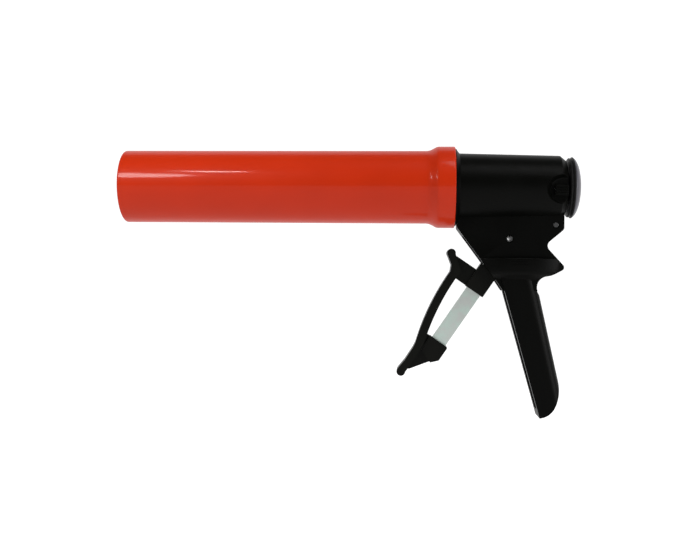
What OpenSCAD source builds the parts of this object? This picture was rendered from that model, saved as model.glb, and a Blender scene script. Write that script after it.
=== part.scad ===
// Closed-barrel caulking gun for 310 ml sealant cartridges, as an assembly of its separate pieces.
// Frame: millimetres, origin at the centre of the muzzle's front face, +X along the barrel to the
// rear knob, +Z up, handle towards -Z. The rod is modelled fully forward and the trigger released.

/* [Barrel] */
// Length from the muzzle to the rear rim of the collar
barrel_len = 248; // [200:1:330]
// Outside diameter of the tube
tube_d = 54; // [44:0.5:66]
// Wall of the tube
tube_wall = 1.5; // [1:0.1:2.2]
// Diameter of the hole in the muzzle lip
muzzle_hole_d = 38; // [30:1:39]
// Thickness of the muzzle lip
lip_t = 2; // [1.5:0.1:3]
// Radial step from the tube out to the collar
collar_step = 3.2; // [2.6:0.1:5]
// Wall of the collar
collar_wall = 1.8; // [1.4:0.1:2.2]
// Length of the collar at its full diameter
collar_len = 13; // [12.5:0.5:18]
// Length of the flare between tube and collar
flare_len = 6; // [4:0.5:9]

/* [Bayonet] */
// Angle the barrel turns to unlock
unlock_angle = 35; // [20:1:45]
// Number of lugs inside the collar
lug_count = 3; // [2:1:4]
// Angle that one lug covers
lug_angle = 16; // [10:1:22]
// Height of a lug above the inside of the collar
lug_h = 1.8; // [1.2:0.1:2]
// Length of a lug along the barrel
lug_len = 3; // [2:0.1:3.6]

/* [Housing] */
// Length of the round part behind the collar
body_len = 80.5; // [79:0.1:100]
// How much smaller in radius than the tube the round part starts
body_inset = 1.8; // [1.2:0.1:2]
// Draft of the round part, as loss of radius over its length
body_draft = 1.7; // [0.5:0.1:2]
// Wall around the drive chamber
body_wall = 4.6; // [3.5:0.1:5]
// Width across the flat cheeks
cheek_w = 21; // [19:0.5:26]
// Thickness of the rear cover
cover_t = 4.2; // [3.5:0.1:5.5]
// Radial chamfer of the rear cover
cover_chamfer = 3.4; // [2:0.1:4]

/* [Handle] */
// Height of the handle below the throat
grip_len = 86.8; // [70:0.1:110]
// Width across the handle
grip_w = 24; // [22:0.5:32]
// Width across the saddle above the handle
saddle_w = 33; // [28:0.5:40]
// Lean of the handle's front edge from the vertical
front_lean = 15.8; // [14:0.1:18]
// Lean of the handle's back from the vertical
back_lean = 12.8; // [11:0.1:14]
// Width of the channel that is open to the front
slot_w = 13.4; // [13.2:0.1:15]

/* [Trigger] */
// Angle the trigger turns when squeezed
squeeze_angle = 28; // [20:1:30]
// Lean of the released lever from the vertical
lever_lean = 34; // [30:1:38]
// Width of the lever bar, seen from the side
lever_w = 11.8; // [10:0.1:13]
// Thickness of the lever bar
lever_t = 5; // [4:0.1:6]
// Distance from the pivot to the low end of the bar
lever_len = 101; // [90:1:125]
// Distance from the pivot to the centre of the nose
nose_arm = 14; // [12:0.1:15]
// Width of the finger bow
bow_w = 18; // [14:0.5:24]

/* [Rod] */
// Diameter of the push rod
rod_d = 8; // [6.4:0.1:10]
// Gap all round the piston disc in the barrel
piston_gap = 3.5; // [1:0.1:5]
// Diameter of the rear knob
knob_d = 45; // [36:0.5:56]
// Height of the domed cap
dome_h = 5.8; // [4:0.1:10]

/* [Springs] */
// Wire of the return spring
return_wire = 1.8; // [1:0.1:2.2]
// Wire of the brake spring
brake_wire = 1.2; // [0.8:0.1:1.4]

/* [Hidden] */
$fn = 96;

// Fits
run_gap = 0.05;      // radial, a shaft that runs in its bearing
slide_gap = 0.15;    // a plate on the rod, or a part in its slot
brake_gap = 0.25;    // the brake plate on the rod, with room for its swing
loose_gap = 0.4;     // parts that pass each other freely
seat_gap = 0.1;      // axial, between seated parts
eps = 0.01;          // lets a cut run past a face
far = 60;            // longer than anything a cut has to pass

// Barrel and coupling
tube_r = tube_d / 2;
bore_r = tube_r - tube_wall;
collar_r = tube_r + collar_step;
socket_r = collar_r - collar_wall;
lip_round = 1;
rim_round = 1.2;
joint_gap = 0.3;      // axial, between the collar's rim and the housing's flange
shoulder_soft = 0.6;  // softening where the flare meets the collar
spigot_r = socket_r - loose_gap;
spigot_len = 12;
spigot_wall = 4;
lug_from_rim = 4;
lug_clear = 0.2;
lug_end_clear = 1;    // degrees, at each end of a lug
lug_way_in_step = 0.15;  // how much deeper the way in is than the groove

// Housing, measured from body_x
body_x = barrel_len + joint_gap;
body_r = tube_r - body_inset;
body_rear_r = body_r - body_draft;
flange_r = collar_r - 1.5;
flange_t = 0.4;
flange_blend = 2.6;
blend_bulge = 0.9;
chamber_r = body_r - body_wall;
recess_r = spigot_r - spigot_wall;
bearing_t = 4.2;
bearing_rear = -3.9;
bearing_x = bearing_rear - bearing_t;
ring_t = 1.4;
ring_groove = 0.9;
wall_x = 51.7;
wall_t = 4;
brake_chamber_r = 15.5;
cover_x = body_len - cover_t;
screw_circle_r = 18;
screw_r = 1.2;
screw_head_r = 2.1;
screw_len = 10;
screw_sink = 0.2;
screw_head_t = 1.6;
screw_slot_w = 0.7;
screw_angles = [30, 150, 210, 330];

// Pivots, measured from body_x
pivot_x = 39.6;
pivot_z = -38.2;
pivot_r = 2.2;
pivot_wall = 0.8;
brake_x = body_len - 7.3;
brake_z = -27.9;
brake_pin_r = 1.8;
pin_sink = 0.2;
pin_slot_w = 1.2;
sink_edge = 1.4;      // how far a pin's countersink is wider than the pin, in radius

// Side outline of the housing, measured from body_x
front_top = [1.5, -30.4];
throat = [35.2, -76.4];
throat_bend = [5, -7.4];  // where the front edge bends, from the throat
inside_z = -10;       // a height well inside the round part
grip_top_z = -82.5;
grip_front_x = 38.1;
grip_back_x = 63.2;
toe_z = grip_top_z - grip_len;
heel_r = 30.6;
heel_turn = 30;
toe_r = 13.5;
toe_turn = 80;        // the toe's arc starts this far below the level, inside the front edge
web_r = 8.1;
web_z = -72.6;
horn_r = 2.6;
horn = [76.7, -58.9];
notch_r = 4.3;
notch = [71.6, -43.2];
tail_corner = [body_len - 1.3, -30.4];
lug_low_z = tail_corner[1] - 4;
saddle_top_z = -52.2;
saddle_low_z = -65.5;
saddle_mid_x = 47;
saddle_plan_r = 70;
saddle_soft = 3.5;
saddle_groove = [0.7, 0.5];
saddle_groove_gap = 2;
grip_back_r = 9;
heel_exit = 4;        // angle at which the heel's arc leaves the back
channel_back = 5;     // wall behind the channel
channel_floor = 6;
rib_t = 2.4;
rib_pitch = 15;
rib_set_back = 7;
slot_front_x = 6;
slot_rear_x = 50.6;

// Finger scoops and release pads, measured from body_x
scoop_x = body_len - 3.8;
scoop_run = 1.8;
scoop_z = -3.6;
scoop_floor_y = 18.6;
scoop_floor_r = 8.3;
scoop_fillet = 1.5;
scoop_flare = 3;
scoop_depth = 6;
pad_len = 9.6;
pad_h = 7.6;
pad_t = 2;
pad_rib_h = 0.5;
pad_rib_t = 0.9;
pad_rib_edge = 0.6;
pad_rib_count = 4;
pad_rear_x = body_len - 0.9;
brake_t = 3.2;
brake_tilt = 2;
brake_foot_wall = 2.2;
brake_slot_w = slot_w - 0.4;
brake_room = brake_pin_r + brake_foot_wall + loose_gap;
ear_h = 4;
ear_y = scoop_floor_y + 1.2;
ear_z = scoop_z + 0.2;
release_angle = 3.5;
plate_half_h = 7;
brake_half_w = 13;

// Trigger, in the lever's own frame: x across the bar, z up along it
bar_front = -5;
bar_back = bar_front + lever_w;
sleeve_top = -26;
sleeve_low = -46.3;
socket_top = -91.6;
boss_r = 6;
nose_r = 4;
nose_angle = 90 - squeeze_angle / 2 + lever_lean;
arm_half = 3;
bow_r = 184.9;
bow_mid_z = -45.9;
bow_top_z = -44;
bow_low_z = -102;
bow_front_x = -21.9;
bow_t = 5.9;
bead_r = 3.2;
top_bead = [-28.8, -32.4];
low_bead = [-9.9, -125.6];
web_t = 7;
sleeve_w = 11;
socket_w = 12;
grip_wall = 1.9;

// Rod group
rod_r = rod_d / 2;
piston_x = 14;
piston_t = 2;
piston_rim = 6;
piston_r = bore_r - piston_gap;
washer_t = 1.5;
washer_r = rod_r + 5;
nut_t = 5;
nut_r = rod_r + 2;
stud_r = rod_r - 1;
stud_end = 1;
disc_wall = 1.5;
bush_wall = 2;
bush_flange = 1.5;
bush_r = rod_r + bush_wall;
knob_gap = 1.8;
knob_r = knob_d / 2;
knob_body_t = 3.4;
knob_bore_depth = 2.4;
cap_edge_r = knob_r - 0.5;
cap_t = 2;
knob_screw_r = 2;
knob_screw_grip = 9;  // length of the screw in the rod
knob_web = 1.4;       // wall between the rod's end and the screw's head
knob_hub_r = 9;
knob_step_r = 8;      // the well in the knob's face that the screw's head sits in
knob_seat_h = 1.2;
knob_x = body_len + knob_gap;

// Drive plates, measured from body_x
plate_t = 3;
nose_x = pivot_x + nose_arm * cos(90 - squeeze_angle / 2);
drive_x = nose_x - nose_r - seat_gap;
plate_half_w = 11;
plate_top = 14;
plate_tail = -27;
tail_half_w = 5.8;
tail_shoulder = -12;

// Colours
orange = [0.85, 0.22, 0.09];
nylon = [0.09, 0.09, 0.09];
dark_grey = [0.28, 0.28, 0.31];
zinc = [0.74, 0.77, 0.76];
steel = [0.6, 0.6, 0.62];
bronze = [0.72, 0.55, 0.32];

// ---- Shared shapes ----

// Points of an arc, from angle a to angle b
function arc(c, r, a, b, n = 10) =
    [for (i = [0:n]) let (t = a + (b - a) * i / n) c + r * [cos(t), sin(t)]];

// Ring i of a coil along +Z: m points of the wire's section
function coil_ring(t, r, wire, pitch, m) =
    [for (k = [0:m - 1]) let (q = 360 * k / m)
        [(r + wire / 2 * cos(q)) * cos(t), (r + wire / 2 * cos(q)) * sin(t),
         pitch * t / 360 + wire / 2 * sin(q)]];

// A closed coil of round wire along +Z, with its lowest and highest wire inside 0 and len
module coil(r, wire, len, turns, n = 22, m = 8) {
    steps = floor(turns * n);
    pitch = (len - wire) / turns;
    points = [for (i = [0:steps]) each coil_ring(360 * turns * i / steps, r, wire, pitch, m)];
    sides = [for (i = [0:steps - 1], k = [0:m - 1])
        [i * m + k, (i + 1) * m + k, (i + 1) * m + (k + 1) % m, i * m + (k + 1) % m]];
    first = [[for (k = [0:m - 1]) k]];
    last = [[for (k = [m - 1:-1:0]) steps * m + k]];
    translate([0, 0, wire / 2]) polyhedron(points, concat(first, sides, last), convexity = 10);
}

// Turns children so that their +Z runs along +X, and moves them to x
module along_x(x = 0) translate([x, 0, 0]) rotate([0, 90, 0]) children();

// A solid of revolution about the barrel axis, from [radius, x] points
module turned(points) rotate([0, 90, 0]) rotate_extrude() polygon(points);

// A stretch of that solid from angle a over angle span, counted from -Z about +X
module turned_part(points, a, span)
    rotate([a, 0, 0]) rotate([0, 90, 0]) rotate_extrude(angle = span) polygon(points);

// A plate of an [x, z] outline, w thick and centred on the middle plane
module side_plate(w) rotate([90, 0, 0]) linear_extrude(height = w, center = true) children();

// A pin across the gun at [x, z]
module cross_pin(p, r, w)
    translate([p[0], 0, p[1]]) rotate([90, 0, 0]) cylinder(r = r, h = w, center = true);

// The housing's own place on the barrel
module in_body() translate([body_x, 0, 0]) children();

// The lever's frame at its pivot, released
module in_lever() in_body() translate([pivot_x, 0, pivot_z]) rotate([0, lever_lean, 0]) children();

// ---- Barrel ----

// One tube with a rolled lip at the muzzle and a belled collar that takes the housing's spigot
module barrel_tube() color(orange) {
    collar_x = barrel_len - collar_len;
    flare_x = collar_x - flare_len;
    lug_rear = barrel_len - lug_from_rim;
    lug_front = lug_rear - lug_len;
    lug_r = socket_r - lug_h;
    turned(concat(
        [[muzzle_hole_d / 2, 0]],
        arc([tube_r - lip_round, lip_round], lip_round, -90, 0, 6),
        [[tube_r, flare_x], [collar_r - shoulder_soft, collar_x - 1.5 * shoulder_soft]],
        [[collar_r, collar_x + shoulder_soft]],
        arc([collar_r - rim_round, barrel_len - rim_round], rim_round, 0, 60, 5),
        [[socket_r, barrel_len], [socket_r, collar_x], [bore_r, flare_x + 1],
         [bore_r, lip_t], [muzzle_hole_d / 2, lip_t]]
    ));
    for (i = [0:lug_count - 1])
        turned_part(
            [[lug_r, lug_front], [socket_r + eps, lug_front], [socket_r + eps, lug_rear], [lug_r, lug_rear]],
            360 * i / lug_count - lug_angle / 2, lug_angle);
}

// ---- Housing ----

function front_x(z) = grip_front_x + (grip_top_z - z) * tan(front_lean);
function back_x(z) = grip_back_x + (grip_top_z - z) * tan(back_lean);

// Centres of the heel's arc, tangent to the back, and of the toe's arc inside it
heel_z = toe_z + toe_r + (heel_r - toe_r) * sin(heel_turn);
heel_x = back_x(heel_z) - heel_r / cos(back_lean);
toe_x = heel_x + (heel_r - toe_r) * cos(heel_turn);

// Hollow where the web between thumb and finger sits
function neck_arc() = arc([back_x(web_z) + web_r - 1.1, web_z - 1], web_r, 222, 108, 10);

// Side outline that trims the handle's section: front edge, toe, heel and neck, clear of its back
function grip_outline() = let (
    exit = [heel_x, heel_z] + heel_r * [cos(heel_exit), sin(heel_exit)],
    rise = grip_len / 2
) concat(
    [[front_x(saddle_low_z + 4), saddle_low_z + 4], [front_x(toe_z), toe_z]],
    arc([toe_x, toe_z + toe_r], toe_r, -toe_turn, -heel_turn, 8),
    arc([heel_x, heel_z], heel_r, -heel_turn + 4, heel_exit, 6),
    [exit + rise * [-sin(heel_exit), cos(heel_exit)], [back_x(web_z - 17) + 4, web_z - 17]],
    neck_arc(),
    [[back_x(web_z) + 3, saddle_low_z + 4]]
);

// Cheeks, saddle, horn and handle in one side outline
function housing_outline() = concat(
    [[front_top[0], inside_z], front_top, throat - throat_bend, throat],
    [[grip_front_x - 0.5, grip_top_z + 1.8], [front_x(grip_top_z - 2), grip_top_z - 2]],
    [[front_x(toe_z), toe_z]],
    arc([toe_x, toe_z + toe_r], toe_r, -toe_turn, -heel_turn, 8),
    arc([heel_x, heel_z], heel_r, -heel_turn + 4, back_lean, 8),
    [[back_x(web_z - 11), web_z - 11]],
    neck_arc(),
    [horn - [6.5, 6.1], horn - [3.5, 4.8]],
    arc(horn, horn_r, -68, 48, 6),
    arc(notch, notch_r, 222, 132, 6),
    [tail_corner - [2.6, 3], tail_corner - [0.7, 1.3],
     tail_corner, [tail_corner[0], inside_z]]
);

// The round part with its flange and spigot
module housing_barrel() turned([
    [0, -spigot_len], [spigot_r - shoulder_soft, -spigot_len],
    [spigot_r, -spigot_len + shoulder_soft], [spigot_r, 0], [flange_r, 0], [flange_r, flange_t],
    [body_r + blend_bulge, flange_t + 0.7 * flange_blend], [body_r, flange_t + flange_blend],
    [body_rear_r, cover_x], [0, cover_x]
]);

// Handle section: flat sides, rounded back, extruded along the back's lean
module grip_section() {
    depth = grip_back_x - grip_front_x;
    reach = (grip_len + far) / cos(back_lean);
    r = grip_back_r;
    half = grip_w / 2;
    translate([back_x(web_z), 0, web_z])
        rotate([0, -back_lean, 0]) translate([0, 0, -reach])
            linear_extrude(height = reach + 12)
                polygon(concat(
                    [[-depth - 20, -half]],
                    arc([-r, -half + r], r, -90, 0),
                    arc([-r, half - r], r, 0, 90),
                    [[-depth - 20, half]]
                ));
}

// The handle, cut from its section by the side outline
module grip_body() intersection() {
    grip_section();
    side_plate(grip_w + 2) polygon(grip_outline());
}

// The saddle: a lens in plan with softened rims, cut by the side outline
module saddle() {
    r = saddle_plan_r;
    half = saddle_w / 2;
    soft = saddle_soft;
    intersection() {
        side_plate(saddle_w + 2) polygon(housing_outline());
        difference() {
            intersection_for (s = [-1, 1]) translate([saddle_mid_x, s * (r - half), 0])
                rotate_extrude($fn = 180) polygon(concat(
                    [[0, saddle_low_z - soft], [r - 1.6 * soft, saddle_low_z - soft]],
                    arc([r - soft, saddle_low_z + soft], soft, -60, 0, 4),
                    arc([r - 1, saddle_top_z - 1], 1, 0, 90, 3),
                    [[0, saddle_top_z]]
                ));
            for (s = [-1, 1], i = [0, 1])
                translate([0, s * (half - saddle_groove[1]), saddle_top_z - 3 - i * saddle_groove_gap])
                    translate([0, s > 0 ? 0 : -soft, 0]) cube([body_len, soft, saddle_groove[0]]);
        }
    }
}

// The channel that is open to the front: lever slot above, hollow handle below
module front_channel() {
    floor_z = toe_z + channel_floor;
    bend_z = toe_z + 26;
    side_plate(slot_w) polygon([
        [slot_front_x, inside_z], [slot_front_x, saddle_top_z], [front_x(toe_z) - far, floor_z],
        [front_x(toe_z) + 8, floor_z], [back_x(bend_z) - channel_back - 3, bend_z],
        [back_x(web_z) - channel_back, web_z], [slot_rear_x, saddle_top_z - 4], [slot_rear_x, inside_z]
    ]);
}

// Cross ribs that stiffen the hollow handle
module channel_ribs() {
    for (z = [grip_top_z - rib_pitch:-rib_pitch:toe_z + channel_floor + rib_pitch / 2])
        translate([front_x(z) + rib_set_back, -slot_w / 2 - eps, z])
            cube([back_x(z) - front_x(z) - rib_set_back - channel_back / 2, slot_w + 2 * eps, rib_t]);
}

// L-shaped grooves in the spigot, one for each lug of the collar
module bayonet_grooves() {
    low = socket_r - lug_h - lug_clear;
    span = lug_angle + 2 * lug_end_clear;
    rear = lug_clear - lug_from_rim - joint_gap;
    front = rear - lug_len - 2 * lug_clear;
    way_in = low - lug_way_in_step;
    way_end = rear - lug_len / 2;
    for (i = [0:lug_count - 1]) {
        start = 360 * i / lug_count - span / 2;
        turned_part([[low, front], [collar_r, front], [collar_r, rear], [low, rear]],
            start, unlock_angle + span);
        turned_part([
            [way_in, -spigot_len - 1], [collar_r + 1, -spigot_len - 1],
            [collar_r + 1, way_end], [way_in, way_end]
        ], start + unlock_angle + lug_end_clear / 4, span - lug_end_clear / 2);
    }
}

// A dished finger scoop on side s of the housing, open to the rear
module scoop(s) {
    rim_r = scoop_floor_r + scoop_fillet + scoop_flare;
    for (x = [scoop_x, scoop_x + scoop_run])
        translate([x, s * scoop_floor_y, scoop_z]) rotate([-s * 90, 0, 0]) rotate_extrude() polygon(concat(
            [[0, 0]], arc([scoop_floor_r, scoop_fillet], scoop_fillet, -90, -30, 4),
            [[rim_r, scoop_depth], [rim_r, 2 * scoop_depth], [0, 2 * scoop_depth]]
        ));
}

// Countersink at both ends of a pin of radius r at p
module pin_sinks(p, r) for (s = [-1, 1])
    translate([p[0], s * cheek_w / 2, p[1]]) rotate([-s * 90, 0, 0])
        translate([0, 0, -pin_sink - sink_edge / 2]) cylinder(r1 = r, r2 = r + sink_edge, h = sink_edge);

// The side outline within a window, as a plate as wide as the cheeks
module cheek_part(x, z, w, h) side_plate(cheek_w) intersection() {
    polygon(housing_outline());
    translate([x, z]) square([w, h]);
}

// Flat cheeks: beside the round part, down to the throat, round the horn, and up to the rear corner
module cheeks() {
    web_top_z = saddle_top_z + 4;
    cheek_part(0, throat[1], cover_x, -throat[1]);
    cheek_part(0, saddle_low_z, body_len + far, web_top_z - saddle_low_z);
    cheek_part(0, saddle_top_z, body_len, tail_corner[1] - 2.5 - saddle_top_z);
}

module housing() color(nylon) in_body() {
    difference() {
        union() {
            housing_barrel();
            cheeks();
            saddle();
            grip_body();
        }
        // drive chamber, bearing seat and ring groove
        along_x(-spigot_len - 1) cylinder(r = chamber_r, h = wall_x + spigot_len + 1);
        along_x(-spigot_len - 1) cylinder(r = recess_r, h = spigot_len + 1 + bearing_rear);
        along_x(bearing_x - seat_gap - ring_t) cylinder(r = recess_r + ring_groove, h = ring_t);
        // brake chamber, its slot, and the rod's way through the middle wall
        along_x(wall_x + wall_t) cylinder(r = brake_chamber_r, h = far);
        along_x(wall_x - 1) cylinder(r = rod_r + 1, h = wall_t + 2);
        brake_slot();
        front_channel();
        bayonet_grooves();
        cross_pin([pivot_x, pivot_z], pivot_r, 2 * far);
        cross_pin([brake_x, brake_z], brake_pin_r, 2 * far);
        for (s = [-1, 1]) {
            scoop(s);
            ear_window(s);
        }
        pin_sinks([pivot_x, pivot_z], pivot_r);
        pin_sinks([brake_x, brake_z], brake_pin_r);
        for (a = screw_angles) screw_place(a) cylinder(r = screw_r, h = screw_len - 1);
        // the rear cover's own space
        translate([cover_x, -far, lug_low_z]) cube([far, 2 * far, 2 * far]);
    }
    intersection() {
        channel_ribs();
        side_plate(slot_w + 2) polygon(housing_outline());
    }
}

// Room for the round of the brake plate's foot, in the housing and the cover
module brake_foot_room() cross_pin([brake_x, brake_z], brake_room, brake_slot_w);

// Room for the whole foot, open to the brake chamber and to the rear
module brake_slot() {
    brake_foot_room();
    translate([brake_x - brake_room, -brake_slot_w / 2, brake_z]) cube([far, brake_slot_w, -brake_z]);
}

// Hole in the scoop's floor for an ear of the brake plate, long enough for its swing
module ear_window(s) {
    arm = ear_z - brake_z;
    rear = brake_x + arm * tan(brake_tilt) + brake_t / 2 + loose_gap;
    front = brake_x - arm * tan(release_angle - brake_tilt) - brake_t / 2 - loose_gap;
    translate([front, s * (scoop_floor_y - 3) - 4, ear_z - ear_h / 2 - loose_gap])
        cube([rear - front, 8, ear_h + 2 * loose_gap]);
}

// Place of a cover screw at angle a, pointing forward into the housing from the joint
module screw_place(a)
    rotate([a, 0, 0]) translate([cover_x, screw_circle_r, 0]) rotate([0, -90, 0]) children();

// ---- Front bearing ----

module front_bearing_plate() color(steel) in_body() difference() {
    along_x(bearing_x) cylinder(r = recess_r - seat_gap, h = bearing_t);
    along_x(bearing_x - 1) cylinder(r = bush_r, h = bearing_t + 2);
}

// Flanged bush, pressed in from the front
module front_bush() color(bronze) in_body() turned([
    [rod_r + run_gap, bearing_x - bush_flange], [bush_r + 2, bearing_x - bush_flange],
    [bush_r + 2, bearing_x], [bush_r, bearing_x],
    [bush_r, bearing_x + bearing_t + 2], [rod_r + run_gap, bearing_x + bearing_t + 2]
]);

// A round on each ear of the retaining ring
module ring_ears(r) for (s = [-1, 1]) rotate(s * 14) translate([recess_r - 2.3, 0]) circle(r = r);

// Internal retaining ring with a gap and two plier ears
module retaining_ring() color(steel) in_body() {
    ring_x = bearing_x - seat_gap - ring_t + slide_gap / 2;
    t = ring_t - slide_gap;
    outer = recess_r + ring_groove - seat_gap;
    gap_w = 9;
    along_x(ring_x) linear_extrude(height = t) difference() {
        union() {
            difference() {
                circle(r = outer);
                circle(r = recess_r - 1.7);
            }
            ring_ears(2.4);
        }
        translate([0, -gap_w / 2]) square([outer + 1, gap_w]);
        ring_ears(0.9);
    }
}

// ---- Drive ----

module return_spring() color(steel) in_body() {
    start = bearing_x + bearing_t + seat_gap;
    r = bush_r + 0.6 + return_wire / 2;
    along_x(start) coil(r, return_wire, drive_x - 2 * plate_t - 2 * seat_gap - start, 7);
}

// Two steel plates on the rod that tilt and grip it; their tails meet the lever's nose
module drive_plates() color(zinc) in_body() for (i = [1, 2]) {
    corner = 3;
    along_x(drive_x - i * plate_t - (i - 1) * seat_gap / 2) difference() {
        linear_extrude(height = plate_t - seat_gap / 2) polygon([
            [-plate_top, corner - plate_half_w], [corner - plate_top, -plate_half_w],
            [-tail_shoulder - corner, -plate_half_w], [-tail_shoulder, -tail_half_w],
            [-plate_tail, -tail_half_w], [-plate_tail, tail_half_w],
            [-tail_shoulder, tail_half_w], [-tail_shoulder - corner, plate_half_w],
            [corner - plate_top, plate_half_w], [-plate_top, plate_half_w - corner]
        ]);
        translate([0, 0, -1]) cylinder(r = rod_r + slide_gap, h = plate_t + 2);
    }
}

// ---- Brake ----

module brake_spring() color(steel) in_body() {
    start = wall_x + wall_t + seat_gap;
    r = rod_r + 1.4 + brake_wire / 2;
    end = brake_x - brake_t / 2 + (-brake_z - r - brake_wire / 2) * tan(brake_tilt) - 2 * seat_gap;
    along_x(start) coil(r, brake_wire, end - start, 5, 20, 6);
}

// Everything on the brake hangs on its pin and leans back by brake_tilt at rest
module in_brake() in_body() translate([brake_x, 0, brake_z]) rotate([0, brake_tilt, 0]) children();

// Plate with the rod's hole, a foot that turns on the pin, and an ear on each side for a pad
module brake_plate() color(zinc) in_brake() {
    rise = -brake_z;
    foot_w = brake_slot_w - 1;
    difference() {
        union() {
            cross_pin([0, 0], brake_pin_r + brake_foot_wall, foot_w);
            translate([0, 0, rise / 2]) cube([brake_t, foot_w, rise], center = true);
            translate([0, 0, rise]) cube([brake_t, 2 * brake_half_w, 2 * plate_half_h], center = true);
            translate([0, 0, ear_z - brake_z]) cube([brake_t, 2 * ear_y, ear_h], center = true);
        }
        cross_pin([0, 0], brake_pin_r + run_gap, far);
        translate([-far / 2, 0, rise]) rotate([0, 90, 0]) cylinder(r = rod_r + brake_gap, h = far);
    }
}

// Ribbed pad on side s, slid over the ear
module release_pad(s) color(nylon) in_brake() {
    x = pad_rear_x - pad_len - brake_x;
    z = ear_z - brake_z - pad_h / 2;
    y = s * (scoop_floor_y + loose_gap + pad_t / 2);
    rib_pitch_z = (pad_h - 2 * pad_rib_edge - pad_rib_t) / (pad_rib_count - 1);
    difference() {
        union() {
            translate([x, y - pad_t / 2, z]) cube([pad_len, pad_t, pad_h]);
            for (i = [0:pad_rib_count - 1])
                translate([x + pad_rib_edge, y + s * pad_t / 2 - pad_rib_h, z + pad_rib_edge + i * rib_pitch_z])
                    cube([pad_len - 2 * pad_rib_edge, 2 * pad_rib_h, pad_rib_t]);
        }
        translate([0, 0, ear_z - brake_z])
            cube([brake_t, 2 * ear_y, ear_h] + 2 * run_gap * [1, 1, 1], center = true);
    }
}
module release_pad_left() release_pad(-1);
module release_pad_right() release_pad(1);

module brake_pin() color(zinc) in_body() cross_pin([brake_x, brake_z], brake_pin_r, cheek_w - 2 * pin_sink);

// ---- Rear cover ----

module rear_cover() color(nylon) in_body() difference() {
    union() {
        turned([[0, cover_x], [body_rear_r, cover_x], [body_rear_r - cover_chamfer, body_len], [0, body_len]]);
        side_plate(cheek_w) intersection() {
            polygon(housing_outline());
            translate([cover_x, lug_low_z]) square([far, inside_z - 2 - lug_low_z]);
        }
    }
    along_x(cover_x - 1) cylinder(r = bush_r, h = far);
    brake_foot_room();
    for (s = [-1, 1]) scoop(s);
    for (a = screw_angles) screw_place(a) {
        translate([0, 0, -far]) cylinder(r = screw_r + slide_gap, h = 2 * far);
        translate([0, 0, -cover_t - 1])
            cylinder(r = screw_head_r + slide_gap, h = 1 + screw_sink + screw_head_t);
    }
}

module rear_bush() color(bronze) in_body() turned([
    [rod_r + run_gap, cover_x], [bush_r, cover_x], [bush_r, body_len], [rod_r + run_gap, body_len]
]);

// Cross-recess screws, their heads sunk in the cover
module rear_cover_screws() color(steel) in_body() for (a = screw_angles) screw_place(a) {
    head = screw_sink - cover_t;
    difference() {
        union() {
            translate([0, 0, head]) cylinder(r = screw_head_r, h = screw_head_t);
            translate([0, 0, head + screw_head_t / 2]) cylinder(r = screw_r, h = screw_len - head - 3);
        }
        for (turn = [0, 90]) rotate(turn) translate([0, 0, head])
            cube([screw_slot_w, 2 * screw_head_r - 0.6, screw_head_t - 0.4], center = true);
    }
}

// ---- Rod group ----

rod_front = piston_x - washer_t - nut_t - stud_end;
rod_shoulder = piston_x + piston_t + washer_t;
rod_rear = body_x + knob_x + knob_bore_depth;

module push_rod() color(zinc) difference() {
    union() {
        along_x(rod_shoulder) cylinder(r = rod_r, h = rod_rear - rod_shoulder);
        along_x(rod_front) cylinder(r = stud_r, h = rod_shoulder - rod_front + eps);
    }
    along_x(rod_rear - knob_screw_grip) cylinder(r = knob_screw_r, h = far);
}

// Pressed disc with a rim turned back
module piston_disc() color(steel) turned([
    [stud_r + run_gap, piston_x], [piston_r - 1, piston_x], [piston_r, piston_x + 1],
    [piston_r, piston_x + piston_t + piston_rim],
    [piston_r - disc_wall, piston_x + piston_t + piston_rim],
    [piston_r - disc_wall, piston_x + piston_t], [stud_r + run_gap, piston_x + piston_t]
]);

module piston_washers() color(zinc) for (x = [piston_x - washer_t, piston_x + piston_t])
    along_x(x) difference() {
        cylinder(r = washer_r, h = washer_t);
        translate([0, 0, -1]) cylinder(r = stud_r + run_gap, h = washer_t + 2);
    }

module piston_nut() color(zinc) along_x(piston_x - washer_t - nut_t) difference() {
    cylinder(r = nut_r, h = nut_t, $fn = 6);
    translate([0, 0, -1]) cylinder(r = stud_r, h = nut_t + 2);
}

// Disc with a grooved rim and a hub that meets the cover; the rod's end sits in it
module rear_knob() color(nylon) in_body() translate([knob_x, 0, 0]) turned([
    [rod_r, seat_gap - knob_gap], [knob_hub_r, seat_gap - knob_gap], [knob_hub_r, 0],
    [knob_r - 3.4, 0], [knob_r - 1.2, 0.3], [knob_r - 0.6, 0.8], [knob_r - 0.9, 1.4],
    [knob_r - 1.7, 1.8], [knob_r - 0.7, 2.2], [knob_r, 2.8], [knob_r - 0.1, knob_body_t],
    [knob_r - 5, knob_body_t], [knob_r - 5, knob_body_t + knob_seat_h],
    [knob_step_r, knob_body_t + knob_seat_h], [knob_step_r, knob_bore_depth + knob_web],
    [knob_screw_r + run_gap, knob_bore_depth + knob_web],
    [knob_screw_r + run_gap, knob_bore_depth], [rod_r, knob_bore_depth]
]);

// Height of the cap over its seat at radius r: a shallow dome with a rounded edge
function dome(r, edge, h) = h * pow(max(0, 1 - pow(r / edge, 2.4)), 0.62);

// Domed cap, hollow inside
module knob_cap() color(dark_grey) in_body() translate([knob_x + knob_body_t, 0, 0]) turned(concat(
    [for (i = [0:16]) let (r = cap_edge_r * cos(90 * i / 16)) [r, dome(r, cap_edge_r, dome_h)]],
    [[0, dome_h - cap_t]],
    [for (i = [15:-1:0]) let (e = cap_edge_r - cap_t, r = e * cos(90 * i / 16))
        [r, dome(r, e, dome_h - cap_t)]]
));

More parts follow.
